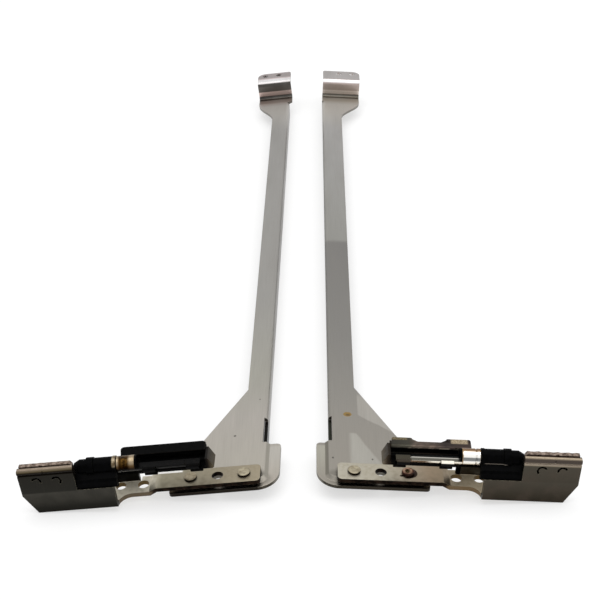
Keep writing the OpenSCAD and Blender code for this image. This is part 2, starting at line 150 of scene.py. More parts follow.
class Graph:
    """The nodes of one material, with short calls for the ones used here."""

    def __init__(self, name, side):
        self.material = bpy.data.materials.new(f"{side}_{name}")
        self.material.use_nodes = True
        self.tree = self.material.node_tree
        self.shader = self.tree.nodes["Principled BSDF"]
        self.side = side
        self.place = self.hinge_coords()
        self.u, self.v, self.w = self.split(self.place)

    def add(self, kind, **settings):
        node = self.tree.nodes.new(kind)
        for key, value in settings.items():
            setattr(node, key, value)
        return node

    def feed(self, socket, value):
        if isinstance(value, bpy.types.NodeSocket):
            self.tree.links.new(value, socket)
        elif isinstance(value, tuple) and len(value) == 3 and socket.type == "RGBA":
            socket.default_value = (*value, 1.0)
        else:
            socket.default_value = value

    def math(self, operation, a, b=0.0):
        node = self.add("ShaderNodeMath", operation=operation)
        self.feed(node.inputs[0], a)
        self.feed(node.inputs[1], b)
        return node.outputs[0]

    def times(self, *factors):
        product = factors[0]
        for factor in factors[1:]:
            product = self.math("MULTIPLY", product, factor)
        return product

    def largest(self, *values):
        most = values[0]
        for value in values[1:]:
            most = self.math("MAXIMUM", most, value)
        return most

    def without(self, value):
        """1 where the value is 0, and 0 where it is 1."""
        return self.math("SUBTRACT", 1.0, value)

    def hinge_coords(self):
        """Object coordinates turned into the frame of the material's hinge, in millimetres."""
        source = self.add("ShaderNodeTexCoord").outputs["Object"]
        flip = self.add("ShaderNodeMapping", vector_type="POINT")
        flip.inputs["Scale"].default_value = (-1.0 if self.side == "left" else 1.0, 1.0, 1.0)
        self.feed(flip.inputs["Vector"], source)
        inverse = hinge_matrix("right").inverted()
        turn = self.add("ShaderNodeMapping", vector_type="POINT")
        turn.inputs["Rotation"].default_value = inverse.to_euler("XYZ")
        turn.inputs["Location"].default_value = inverse.translation
        self.feed(turn.inputs["Vector"], flip.outputs[0])
        grow = self.add("ShaderNodeVectorMath", operation="SCALE")
        grow.inputs["Scale"].default_value = 1.0 / MM
        self.feed(grow.inputs[0], turn.outputs[0])
        return grow.outputs[0]

    def split(self, vector):
        node = self.add("ShaderNodeSeparateXYZ")
        self.feed(node.inputs[0], vector)
        return node.outputs

    def stretch(self, scale):
        node = self.add("ShaderNodeMapping", vector_type="POINT")
        node.inputs["Scale"].default_value = scale
        self.feed(node.inputs["Vector"], self.place)
        return node.outputs[0]

    def noise(self, scale, detail, roughness=0.5, vector=None):
        node = self.add("ShaderNodeTexNoise")
        self.feed(node.inputs["Vector"], vector or self.place)
        node.inputs["Scale"].default_value = scale
        node.inputs["Detail"].default_value = detail
        node.inputs["Roughness"].default_value = roughness
        return node.outputs["Fac"]

    def wobble(self, noise, size):
        """Noise turned into a shift about 0."""
        return self.math("MULTIPLY", self.math("SUBTRACT", noise, 0.5), size)

    def step(self, value, low, high, to_low=0.0, to_high=1.0):
        """Smooth change from to_low to to_high while the value goes from low to high."""
        node = self.add("ShaderNodeMapRange", interpolation_type="SMOOTHSTEP", clamp=True)
        limits = (("From Min", low), ("From Max", high), ("To Min", to_low), ("To Max", to_high))
        for name, number in limits:
            node.inputs[name].default_value = number
        self.feed(node.inputs["Value"], value)
        return node.outputs[0]

    def band(self, value, low, high, soft=0.1):
        """1 between two values, 0 outside."""
        rise = self.step(value, low - soft, low + soft)
        return self.times(rise, self.step(value, high + soft, high - soft))

    def beyond(self, start, end, soft, wobble):
        """1 on the left of the line from start to end in u and v, 0 on its right."""
        du, dv = end[0] - start[0], end[1] - start[1]
        length = math.hypot(du, dv)
        across_u = self.math("MULTIPLY", self.math("SUBTRACT", self.u, start[0]), -dv / length)
        across_v = self.math("MULTIPLY", self.math("SUBTRACT", self.v, start[1]), du / length)
        across = self.math("ADD", self.math("ADD", across_u, across_v), wobble)
        return self.step(across, -soft, soft)

    def mix(self, factor, a, b, blend="MIX"):
        node = self.add("ShaderNodeMix", data_type="RGBA", blend_type=blend)
        self.feed([s for s in node.inputs if s.name == "Factor" and s.type == "VALUE"][0], factor)
        self.feed([s for s in node.inputs if s.name == "A" and s.type == "RGBA"][0], a)
        self.feed([s for s in node.inputs if s.name == "B" and s.type == "RGBA"][0], b)
        return [s for s in node.outputs if s.type == "RGBA"][0]

    def profile(self, value, stops):
        """Colour that follows a value through a list of places and colours."""
        low, high = stops[0][0], stops[-1][0]
        node = self.add("ShaderNodeMapRange", clamp=True)
        node.inputs["From Min"].default_value = low
        node.inputs["From Max"].default_value = high
        self.feed(node.inputs["Value"], value)
        ramp = self.add("ShaderNodeValToRGB")
        marks = ramp.color_ramp.elements
        while len(marks) < len(stops):
            marks.new(0.5)
        for mark, (place, colour) in zip(marks, stops):
            mark.position = (place - low) / (high - low)
            mark.color = (*colour, 1.0)
        self.feed(ramp.inputs[0], node.outputs[0])
        return ramp.outputs["Color"]

    def length(self, a, b):
        """Length of a line with these two sides."""
        return self.math("SQRT", self.math("ADD", self.times(a, a), self.times(b, b)))

    def radius(self, centre):
        """Distance in u and v from a point."""
        du = self.math("SUBTRACT", self.u, centre[0])
        dv = self.math("SUBTRACT", self.v, centre[1])
        return self.length(du, dv)

    def spot(self, centre, radii, soft, ragged, scale):
        """1 inside an ellipse in u and v, 0 outside, with a soft and ragged rim."""
        du = self.math("DIVIDE", self.math("SUBTRACT", self.u, centre[0]), radii[0])
        dv = self.math("DIVIDE", self.math("SUBTRACT", self.v, centre[1]), radii[1])
        reach = self.math("ADD", self.length(du, dv), self.wobble(self.noise(scale, 5.0), ragged))
        return self.step(reach, 1.0 - soft, 1.0 + soft, 1.0, 0.0)

    def around(self, centre_v=0.0, centre_w=AXIS_W):
        """Angle about a line along the arm in degrees: 0 on top, 90 in front, 180 below."""
        forward = self.math("SUBTRACT", centre_v, self.v)
        upward = self.math("SUBTRACT", self.w, centre_w)
        return self.math("MULTIPLY", self.math("ARCTAN2", forward, upward), 180.0 / math.pi)

    def object_normal(self):
        turn = self.add("ShaderNodeVectorTransform", vector_type="NORMAL")
        turn.convert_from = "WORLD"
        turn.convert_to = "OBJECT"
        self.feed(turn.inputs[0], self.add("ShaderNodeNewGeometry").outputs["Normal"])
        return turn.outputs[0]

    def facing(self, direction, low, high):
        """1 on faces that look along a direction of the hinge frame."""
        way = (hinge_matrix(self.side).to_3x3() @ Vector(direction)).normalized()
        dot = self.add("ShaderNodeVectorMath", operation="DOT_PRODUCT")
        self.feed(dot.inputs[0], self.object_normal())
        self.feed(dot.inputs[1], tuple(way))
        return self.step(dot.outputs["Value"], low, high)

    def upright(self, level=0.75, steep=0.4):
        """1 on faces that stand up, such as cut edges, 0 on level ones."""
        slope = self.math("ABSOLUTE", self.split(self.object_normal())[2])
        return self.step(slope, level, steep)

    def edges(self, radius_mm, sharp=0.06):
        """1 along outer and inner edges, 0 on faces."""
        bevel = self.add("ShaderNodeBevel", samples=6)
        bevel.inputs["Radius"].default_value = radius_mm * MM
        dot = self.add("ShaderNodeVectorMath", operation="DOT_PRODUCT")
        self.feed(dot.inputs[0], bevel.outputs[0])
        self.feed(dot.inputs[1], self.add("ShaderNodeNewGeometry").outputs["Normal"])
        return self.step(dot.outputs["Value"], 1.0 - sharp, 1.0 - sharp * 0.1, 1.0, 0.0)

    def crevice(self, reach_mm, low=0.3, high=0.8):
        """1 deep in corners and under neighbours, where shade falls and dirt stays."""
        node = self.add("ShaderNodeAmbientOcclusion", samples=8)
        node.inputs["Distance"].default_value = reach_mm * MM
        return self.step(node.outputs["AO"], high, low)

    def bump(self, height, strength, distance_mm, bevel_mm):
        """Fine relief, with edges that look rounded."""
        node = self.add("ShaderNodeBump")
        node.inputs["Strength"].default_value = strength
        node.inputs["Distance"].default_value = distance_mm * MM
        self.feed(node.inputs["Height"], height)
        bevel = self.add("ShaderNodeBevel", samples=6)
        bevel.inputs["Radius"].default_value = bevel_mm * MM
        self.feed(node.inputs["Normal"], bevel.outputs[0])
        self.feed(self.shader.inputs["Normal"], node.outputs[0])

    def finish(self, colour, metal, rough, gloss=0.5):
        """Sets colour, metal, roughness and the gloss of what isn't metal."""
        inputs = self.shader.inputs
        self.feed(inputs["Base Color"], colour)
        self.feed(inputs["Metallic"], metal)
        self.feed(inputs["Roughness"], rough)
        self.feed(inputs["Specular IOR Level"], gloss)
        return self.material


def dress(node_name, material):
    """Gives a CAD node one material."""
    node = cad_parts[node_name]
    if not node.material_slots:
        node.data.materials.append(material)
    for slot in node.material_slots:
        slot.material = material


def rail_top(g):
    """Painted reflections: greys along the rail, and on the right two lighter wedges on the gusset."""
    along = {
        "left": [(0, tone(172, 167, 156)), (24, tone(172, 167, 160)), (40, tone(163, 161, 152)),
                 (76, tone(154, 152, 148)), (178, tone(150, 148, 145)), (190, tone(152, 148, 142))],
        "right": [(0, tone(150, 145, 136)), (22, tone(146, 142, 135)), (31, tone(142, 139, 133)),
                  (56, tone(132, 130, 126)), (104.5, tone(122, 120, 117)), (106, tone(147, 146, 141)),
                  (177, tone(159, 157, 155)), (190, tone(154, 149, 142))],
    }
    wobble = g.wobble(g.noise(0.25, 2.0), 0.8)
    colour = g.profile(g.math("ADD", g.v, wobble), along[g.side])
    if g.side == "right":
        upper = g.times(g.beyond(*UPPER_WEDGE_LINE, 0.25, wobble),
                        g.step(g.u, 6.6, 7.0), g.step(g.v, 33.5, 31.0))
        colour = g.mix(upper, colour, tone(166, 162, 155))
        wedge = g.times(g.step(g.u, 4.2, 5.4), g.beyond(*LOWER_WEDGE_LINE, 0.35, wobble),
                        g.step(g.v, 17.8, 17.0))
        colour = g.mix(wedge, colour, tone(168, 165, 157))
    return colour


def rail_corner(g, colour, flange):
    """Adds the lowered flange at the corner, darker towards its front, with painted shade on the hollow in
    it and on the ramp that leads down to it.
    """
    if g.side == "left":
        front, back = tone(172, 165, 154), tone(180, 176, 168)
        ramp_tone = tone(146, 142, 132)
    else:
        front, back = tone(150, 144, 134), tone(168, 165, 153)
        ramp_tone = tone(110, 106, 95)
    colour = g.mix(flange, colour, g.mix(g.step(g.v, -0.6, 12.0), front, back))
    # painted shade in the hollow, and below on the sloping ramp
    hollow = g.step(g.radius(HOLLOW_AT), 2.4, 0.8)
    colour = g.mix(g.times(hollow, 0.55), colour, tone(104, 100, 92))
    ramp = g.times(g.band(g.w, *RAMP_W, 0.06), g.band(g.v, *RAMP_V, 0.4),
                   g.facing((-0.5, 0, 0.8), 0.6, 0.9))
    return g.mix(g.times(ramp, 0.85), colour, ramp_tone)


def end_tab(g):
    """Reflections in the end tab: its floor, its folded wall and its top."""
    foot = TAB_FOOT_V
    if g.side == "left":
        wall = g.profile(g.w, [(-0.9, tone(90, 80, 74)), (0.0, tone(44, 41, 38)), (0.3, tone(48, 46, 44)),
                               (0.6, tone(62, 60, 58)), (0.9, tone(66, 64, 62)),
                               (1.15, tone(226, 200, 192)), (2.4, tone(235, 208, 200)),
                               (2.65, tone(72, 66, 62)), (4.6, tone(76, 72, 69)), (5.3, tone(58, 56, 54)),
                               (5.55, tone(180, 176, 176))])
        top = g.profile(g.v, [(foot + 2.0, tone(228, 226, 226)), (foot + 3.3, tone(230, 227, 228)),
                              (foot + 4.0, tone(206, 190, 188)), (foot + 4.7, tone(154, 146, 145)),
                              (foot + 8.3, tone(160, 150, 149))])
        floor = g.profile(g.v, [(foot - 6.0, tone(152, 149, 146)), (foot - 4.0, tone(140, 132, 125)),
                                (foot - 2.8, tone(98, 86, 78)), (foot - 0.5, tone(84, 74, 66)),
                                (foot + 0.6, tone(66, 62, 58))])
    else:
        wall = g.profile(g.w, [(-0.9, tone(84, 80, 74)), (0.0, tone(88, 84, 76)), (0.5, tone(84, 80, 74)),
                               (0.75, tone(92, 88, 80)), (1.0, tone(242, 228, 218)),
                               (2.1, tone(248, 234, 224)), (2.4, tone(185, 168, 158)),
                               (4.8, tone(190, 174, 168)), (5.1, tone(240, 238, 239)),
                               (5.75, tone(247, 245, 246)), (5.88, tone(222, 206, 202))])
        top = g.profile(g.v, [(foot + 0.9, tone(247, 245, 246)), (foot + 1.4, tone(228, 212, 207)),
                              (foot + 2.1, tone(172, 167, 166)), (foot + 8.3, tone(168, 163, 161))])
        floor = g.profile(g.v, [(foot - 6.0, tone(156, 152, 147)), (foot - 4.2, tone(146, 140, 131)),
                                (foot - 2.6, tone(122, 113, 101)), (foot - 0.2, tone(108, 102, 93)),
                                (foot + 0.6, tone(96, 92, 84))])
    wall = g.mix(g.step(g.w, TAB_TOP_W - 0.25, TAB_TOP_W), wall, top)
    return g.mix(g.step(g.w, -0.05, 0.25), floor, wall)


def rail_edges(g, colour, flange, fine):
    """Adds painted shade on the underside and on upright cut edges, a painted shadow of the arm on the
    flange's rim and lip, and painted shade on the leg of the side wall.
    """
    if g.side == "left":
        lip_tone, leg_tone = tone(30, 26, 22), tone(12, 12, 10)
    else:
        lip_tone, leg_tone = tone(52, 47, 40), tone(44, 46, 38)
    # painted shade on faces that look down and on upright cut faces
    below = g.facing((0, 0, -1), 0.4, 0.9)
    colour = g.mix(g.times(below, 0.4), colour, tone(118, 116, 110))
    cut = g.times(g.upright(0.5, 0.25), g.step(g.v, TAB_FOOT_V - 2.0, TAB_FOOT_V - 3.0))
    colour = g.mix(g.times(cut, 0.7), colour, tone(88, 84, 76))
    # painted shadow of the arm along the flange's front rim and lip
    rim = g.times(cut, g.step(g.v, 1.5, 0.5))
    rim_tone = g.mix(g.step(fine, 0.4, 0.6), tone(44, 40, 35), tone(72, 68, 58))
    colour = g.mix(g.times(rim, 0.95), colour, rim_tone)
    lip = g.times(flange, g.step(g.v, 0.0, -0.2), g.band(g.u, *LIP_U, 0.6))
    colour = g.mix(g.times(lip, 0.9), colour, lip_tone)
    # painted shade on the leg of the side wall
    leg = g.times(g.band(g.v, *LEG_V, 0.5), g.step(g.w, -0.9, -1.1))
    return g.mix(leg, colour, leg_tone)


def rail_specks(g, colour, fine):
    """Adds a few dark specks, each at a place and of a size in u and v, and many faint ones."""
    specks = {"left": [((8.4, 17.5), (0.3, 0.3)), ((3.1, 31.0), (0.15, 0.2))],
              "right": [((0.7, 8.1), (0.22, 0.3)), ((9.7, 8.0), (0.2, 0.28))]}
    for centre, radii in specks[g.side]:
        speck = g.spot(centre, radii, 0.3, 0.5, 3.0)
        colour = g.mix(g.times(speck, 0.75), colour, tone(52, 47, 42))
    return g.mix(g.times(g.step(fine, 0.68, 0.78), 0.3), colour, tone(96, 90, 80))


def rail_material(side):
    """Rolled bright sheet: faint grain along the rail, painted dull reflections, stains and specks, and
    painted shade with dirt in its corners.
    """
    g = Graph("rail_sheet", side)
    grain = g.noise(2.0, 5.0, 0.6, g.stretch((3.0, 0.05, 3.0)))
    cloud = g.noise(1.0, 3.0, 0.5, g.stretch((0.15, 0.03, 0.15)))
    fine = g.noise(2.2, 5.0, 0.65)
    flange = g.times(g.step(g.w, CORNER_W + 0.25, CORNER_W), g.step(g.v, CORNER_V, CORNER_V - 0.4))
    colour = rail_corner(g, rail_top(g), flange)
    on_tab = g.times(g.step(g.v, TAB_FOOT_V - 6.0, TAB_FOOT_V - 5.0), g.facing((0, 0, -1), 0.5, -0.2))
    colour = g.mix(on_tab, colour, end_tab(g))
    colour = g.mix(g.step(cloud, 0.35, 0.7, 0.0, 0.25), colour, tone(134, 131, 125))
    colour = g.mix(g.step(grain, 0.35, 0.75, 0.0, 0.16), colour, tone(112, 109, 103))
    colour = rail_edges(g, colour, flange, fine)
    colour = rail_specks(g, colour, fine)
    rough = g.step(cloud, 0.3, 0.7, 0.30, 0.40)
    dulled = g.times(g.step(g.v, TAB_FOOT_V - 28.0, TAB_FOOT_V - 9.0),
                     g.step(g.v, TAB_FOOT_V - 0.4, TAB_FOOT_V - 1.0), g.step(g.w, 0.15, 0.0))
    metal = g.without(g.times(dulled, 0.85))
    if side == "right":
        stain = g.spot(STAIN_AT, (1.0, 0.85), 0.12, 0.35, 1.8)
        core = g.spot(STAIN_CORE_AT, (0.55, 0.4), 0.3, 0.5, 1.8)
        colour = g.mix(stain, colour, g.mix(core, tone(124, 98, 42), tone(88, 66, 24)))
        metal = g.math("SUBTRACT", metal, stain)
        rough = g.math("ADD", rough, g.times(stain, 0.3))
    # painted shade with dirt, deep in corners and under neighbours
    dirt_and_shade = g.times(g.crevice(1.2, 0.35, 0.85), g.step(fine, 0.25, 0.6))
    colour = g.mix(g.times(dirt_and_shade, 0.75), colour, tone(34, 28, 22))
    g.bump(grain, 0.12, 0.04, 0.2)
    return g.finish(colour, metal, rough)


def arm_tones(g):
    """Painted reflections: colours of the arm's top along it, of its outer face by height, and bands round
    the bead.
    """
    if g.side == "left":
        top = [(1, tone(152, 142, 122)), (10, tone(140, 132, 114)), (24, tone(140, 134, 116)),
               (27, tone(205, 198, 180)), (33, tone(215, 208, 190))]
        face = [(-0.9, tone(26, 24, 20)), (0.6, tone(36, 35, 31)), (2.6, tone(56, 54, 49)),
                (4.7, tone(62, 60, 55)), (5.0, tone(41, 40, 36)), (9.6, tone(38, 36, 32))]
        bead = [(-40, tone(70, 50, 42)), (-22, tone(54, 40, 34)), (2, tone(126, 114, 102)),
                (38, tone(120, 108, 94)), (66, tone(92, 82, 62)), (84, tone(34, 28, 21)),
                (138, tone(20, 17, 14))]
    else:
        top = [(1, tone(176, 171, 157)), (12, tone(170, 164, 148)), (22, tone(140, 124, 104)),
               (26, tone(132, 118, 98)), (28, tone(164, 152, 130)), (33, tone(186, 172, 146))]
        face = [(-0.9, tone(38, 34, 28)), (0.4, tone(52, 47, 39)), (2.0, tone(60, 55, 47)),
                (4.7, tone(68, 64, 56)), (5.0, tone(66, 61, 53)), (9.2, tone(70, 66, 58)),
                (9.4, tone(126, 116, 99)), (9.65, tone(150, 138, 124))]
        bead = [(-40, tone(96, 76, 66)), (-22, tone(70, 54, 46)), (6, tone(76, 60, 52)),
                (16, tone(144, 132, 114)), (42, tone(134, 122, 106)), (58, tone(74, 66, 60)),
                (110, tone(70, 62, 56)), (122, tone(156, 144, 130)), (138, tone(150, 138, 124))]
    return g.profile(g.u, top), g.profile(g.w, face), g.profile(g.around(BEAD_V, BEAD_W), bead)


def arm_edges(g, colour, mottle, fine, off_face):
    """Adds painted shade on the dark cut edges below the arm's top, and faint wear along its rims."""
    low_edge = g.times(g.upright(), off_face, g.step(g.w, ARM_TOP_W + 0.05, ARM_TOP_W - 0.15))
    edge_tone = g.mix(g.step(mottle, 0.4, 0.6), tone(10, 6, 4), tone(34, 24, 17))
    colour = g.mix(low_edge, colour, edge_tone)
    low = g.step(g.w, ARM_TOP_W - 2.2, ARM_TOP_W - 0.2)
    high = g.step(g.w, 8.8, 9.0)
    worn = g.times(g.edges(0.14), g.step(fine, 0.4, 0.6), low, g.without(high))
    return g.mix(g.times(worn, 0.35), colour, tone(176, 168, 146))


def arm_rust(g, colour):
    """Adds rust on the right arm round its outer rivet."""
    ring = g.step(g.radius((OUTER_RIVET_U + 0.4, ROW_V - 0.05)), 1.75, 1.6)
    rust = g.largest(ring, g.spot(RUST_FLECK_AT, (0.5, 0.3), 0.2, 0.5, 2.0))
    on_top = g.step(g.w, ARM_TOP_W - 0.1, ARM_TOP_W - 0.05)
    return g.mix(g.times(rust, on_top, 0.95), colour, tone(30, 13, 7))


def arm_lug(g, colour, mottle):
    """Adds the dark lug behind the clutch's inner end, lighter at its foot on the right."""
    if g.side == "left":
        low, high = tone(24, 24, 22), tone(3, 3, 3)
    else:
        low, high = tone(70, 66, 57), tone(7, 5, 4)
    lug = g.times(g.step(g.u, LUG_U, LUG_U + 0.3), g.step(g.v, 3.2, 3.5), g.step(g.w, 0.3, 0.8))
    lug_tone = g.mix(g.step(g.w, 2.2, 2.6), low, high)
    return g.mix(lug, colour, g.mix(g.step(mottle, 0.45, 0.65, 0.0, 0.3), lug_tone, tone(10, 9, 8)))


def arm_material(side):
    """Nickelled arm: warm top, dark cut edges, a grey outer face and a bead along its top, with painted
    reflections, painted shade with dirt in its corners and, on the left, a painted white highlight.
    """
    g = Graph("arm_nickel", side)
    mottle = g.noise(0.8, 6.0, 0.6)
    cloud = g.noise(0.25, 3.0, 0.5)
    fine = g.noise(3.0, 4.0, 0.6)
    streak = g.noise(2.0, 4.0, 0.6, g.stretch((1.6, 1.0, 0.12)))
    if side == "left":
        rough, cloud_tone, rim_tone = (0.34, 0.48), tone(34, 34, 30), tone(96, 84, 68)
    else:
        rough, cloud_tone, rim_tone = (0.30, 0.44), tone(78, 68, 60), tone(108, 90, 66)
    top, face, bead = arm_tones(g)
    top = g.mix(g.step(mottle, 0.4, 0.7, 0.0, 0.3), top, tone(122, 112, 92))
    face = g.mix(g.step(cloud, 0.4, 0.65, 0.0, 0.3), face, cloud_tone)
    face = g.mix(g.step(streak, 0.6, 0.8, 0.0, 0.12), face, tone(96, 90, 78))
    face = g.mix(g.step(g.w, BEAD_W - 0.95, BEAD_W - 0.8), face, bead)
    on_face = g.times(g.step(g.v, PLATE_FRONT_V + 1.3, PLATE_FRONT_V + 1.0),
                      g.step(g.u, PLATE_U - 0.9, PLATE_U))
    off_face = g.without(on_face)
    colour = g.mix(on_face, top, face)
    inner = g.times(g.step(g.u, PLATE_U, PLATE_U - 0.4),
                    g.step(g.v, PLATE_FRONT_V + 0.9, PLATE_FRONT_V + 0.4), g.step(g.w, 0.3, 0.6))
    colour = g.mix(inner, colour, tone(146, 122, 84))
    colour = arm_edges(g, colour, mottle, fine, off_face)
    bare = g.times(g.step(g.u, JOGGLE_END_U, JOGGLE_END_U + 1.0), g.step(g.w, 0.35, 0.25), off_face)
    # painted shade with dirt in corners and under neighbours
    dirt_and_shade = g.times(g.crevice(1.0), g.step(fine, 0.2, 0.5), g.step(bare, 1.0, 0.0, 0.35, 1.0))
    colour = g.mix(g.times(dirt_and_shade, 0.85), colour, tone(18, 12, 8))
    if side == "left":
        # painted white highlight along the back of the left strip
        back_glint = g.times(g.band(g.u, *GLINT_U, 0.2), g.step(g.v, GLINT_V, GLINT_V + 0.2),
                      g.step(g.w, ARM_TOP_W - 0.1, ARM_TOP_W - 0.05))
        colour = g.mix(back_glint, colour, tone(254, 252, 248))
        bare = g.largest(bare, back_glint)
    else:
        colour = arm_rust(g, colour)
    cut = g.upright()
    front_rim = g.times(cut, g.step(g.u, JOGGLE_END_U - 0.7, JOGGLE_END_U + 0.3), g.step(g.w, 0.35, 0.25),
                        off_face, g.step(g.v, 0.6, 0.2))
    colour = g.mix(front_rim, colour, rim_tone)
    colour = g.mix(g.times(bare, cut, g.step(g.v, 0.6, 0.9)), colour, tone(112, 92, 58))
    colour = arm_lug(g, colour, mottle)
    g.bump(fine, 0.1, 0.02, 0.15)
    metal = g.without(g.times(bare, 0.75))
    return g.finish(colour, metal, g.step(mottle, 0.3, 0.7, *rough), gloss=0.1)


def mottled_metal(side, name, dark, light, shaded_sides=False):
    """Metal with a mottled colour between two tones, painted shade with dirt in its corners and, with
    shaded_sides, painted shade on its upright sides.
    """
    g = Graph(name, side)
    mottle = g.noise(1.2, 6.0, 0.6)
    colour = g.mix(g.step(mottle, 0.35, 0.65), dark, light)
    # painted shade with dirt in corners
    colour = g.mix(g.times(g.crevice(0.6), 0.8), colour, tone(24, 18, 13))
    # painted shade on upright sides
    if shaded_sides:
        colour = g.mix(g.upright(0.6, 0.3), colour, tone(28, 20, 13))
    g.bump(mottle, 0.15, 0.05, 0.15)
    return g.finish(colour, 1.0, g.step(mottle, 0.3, 0.7, 0.3, 0.45))


def backing_material(side):
    """Second sheet of the outer plate: dull grey, raw and mottled along its cut top."""
    g = Graph("backing_sheet", side)
    mottle = g.noise(1.2, 6.0, 0.6)
    cloud = g.noise(0.3, 4.0, 0.55)
    rim = g.mix(g.step(mottle, 0.35, 0.65), tone(84, 70, 60), tone(158, 142, 130))
    sheet = g.mix(g.step(cloud, 0.35, 0.65), tone(92, 88, 80), tone(112, 107, 98))
    sheet = g.mix(g.step(mottle, 0.5, 0.75, 0.0, 0.35), sheet, tone(70, 62, 52))
    colour = g.mix(g.step(g.w, BACKING_RIM_W - 0.4, BACKING_RIM_W), sheet, rim)
    # painted shade with dirt in corners
    colour = g.mix(g.times(g.crevice(0.6), 0.8), colour, tone(24, 18, 13))
    g.bump(mottle, 0.15, 0.05, 0.15)
    return g.finish(colour, 1.0, g.step(mottle, 0.3, 0.7, 0.3, 0.45))


def clutch_material(side):
    """Black oxide with a low oily gloss: a painted highlight along the seam on the right, a worn ring on
    the left.
    """
    g = Graph("clutch_black", side)
    mottle = g.noise(0.9, 5.0, 0.6)
    fine = g.noise(4.0, 4.0, 0.6)
    colour = g.mix(g.step(mottle, 0.35, 0.7), tone(1, 1, 1), tone(4, 4, 5))
    rubbed = g.times(g.edges(0.15), g.step(fine, 0.5, 0.65), 0.12)
    colour = g.mix(rubbed, colour, tone(92, 86, 76))
    metal = g.times(rubbed, 0.8)
    if side == "right":
        # painted highlight along the seam
        seam = g.times(g.band(g.w, SEAM_W - 0.12, SEAM_W + 0.12, 0.08), g.band(g.u, *SEAM_U, 0.4))
        colour = g.mix(g.times(seam, g.step(fine, 0.3, 0.55, 0.5, 1.0)), colour, tone(120, 112, 104))
    else:
        ring = g.times(g.band(g.u, *WORN_RING_U, 0.1), g.step(g.around(), 78.0, 56.0))
        ring_tone = g.mix(g.step(mottle, 0.4, 0.6), tone(96, 82, 62), tone(150, 138, 116))
        colour = g.mix(ring, colour, ring_tone)
        metal = g.largest(metal, ring)
    g.bump(fine, 0.12, 0.03, 0.12)
    return g.finish(colour, metal, g.step(mottle, 0.3, 0.7, 0.32, 0.5), gloss=0.02)


def leaf_cap(g, fine, stops, fleck):
    """Painted reflection over the folded inner end of the leaf, light at its outer edge and dark towards
    the fold, flecked with a darker tone.
    """
    return g.mix(g.step(fine, 0.5, 0.75, 0.0, 0.5), g.profile(g.u, stops), fleck)


def flange_wear_and_glint(g, mottle, fine):
    """Flange of the right leaf: grey and brown, brass at its tabs, dark beside the outer tab, with a
    painted highlight along its front fold.
    """
    worn = g.profile(g.u, [(12, tone(46, 46, 40)), (17, tone(64, 62, 54)), (18.5, tone(96, 84, 76)),
                           (22, tone(88, 76, 68)), (25, tone(50, 44, 42)), (31, tone(66, 54, 50))])
    worn = g.mix(g.step(mottle, 0.4, 0.65, 0.0, 0.5), worn, tone(58, 52, 46))
    brass = g.mix(g.step(fine, 0.35, 0.6), tone(104, 90, 68), tone(178, 162, 136))
    outer = g.times(g.band(g.u, OUTER_TAB_U[0] + 1.5, OUTER_TAB_U[1] - 0.4, 0.25),
                    g.step(g.v, 3.6, 4.0))
    worn = g.mix(outer, worn, brass)
    olive = g.mix(g.step(fine, 0.4, 0.6), tone(76, 66, 34), tone(140, 128, 104))
    inner = g.times(g.band(g.u, *INNER_TAB_U, 0.3), g.step(g.v, 4.3, 4.7))
    worn = g.mix(g.times(inner, 0.8), worn, olive)
    beside = g.largest(g.band(g.u, OUTER_TAB_U[0], OUTER_TAB_U[0] + 1.2, 0.25),
                       g.step(g.u, OUTER_TAB_U[1] - 0.3, OUTER_TAB_U[1]))
    worn = g.mix(g.times(beside, g.step(g.v, 3.9, 4.3), 0.85), worn, tone(24, 16, 10))
    long = g.noise(1.6, 5.0, 0.6, g.stretch((0.25, 1.6, 1.6)))
    # painted highlight along the flange's front fold
    line = g.times(g.band(g.v, LEAF_FLANGE_V + 0.02, LEAF_FLANGE_V + 0.16, 0.05), g.step(long, 0.46, 0.6),
                   g.step(g.u, 13.0, 17.0))
    return g.mix(g.times(line, 0.9), worn, tone(172, 160, 142))


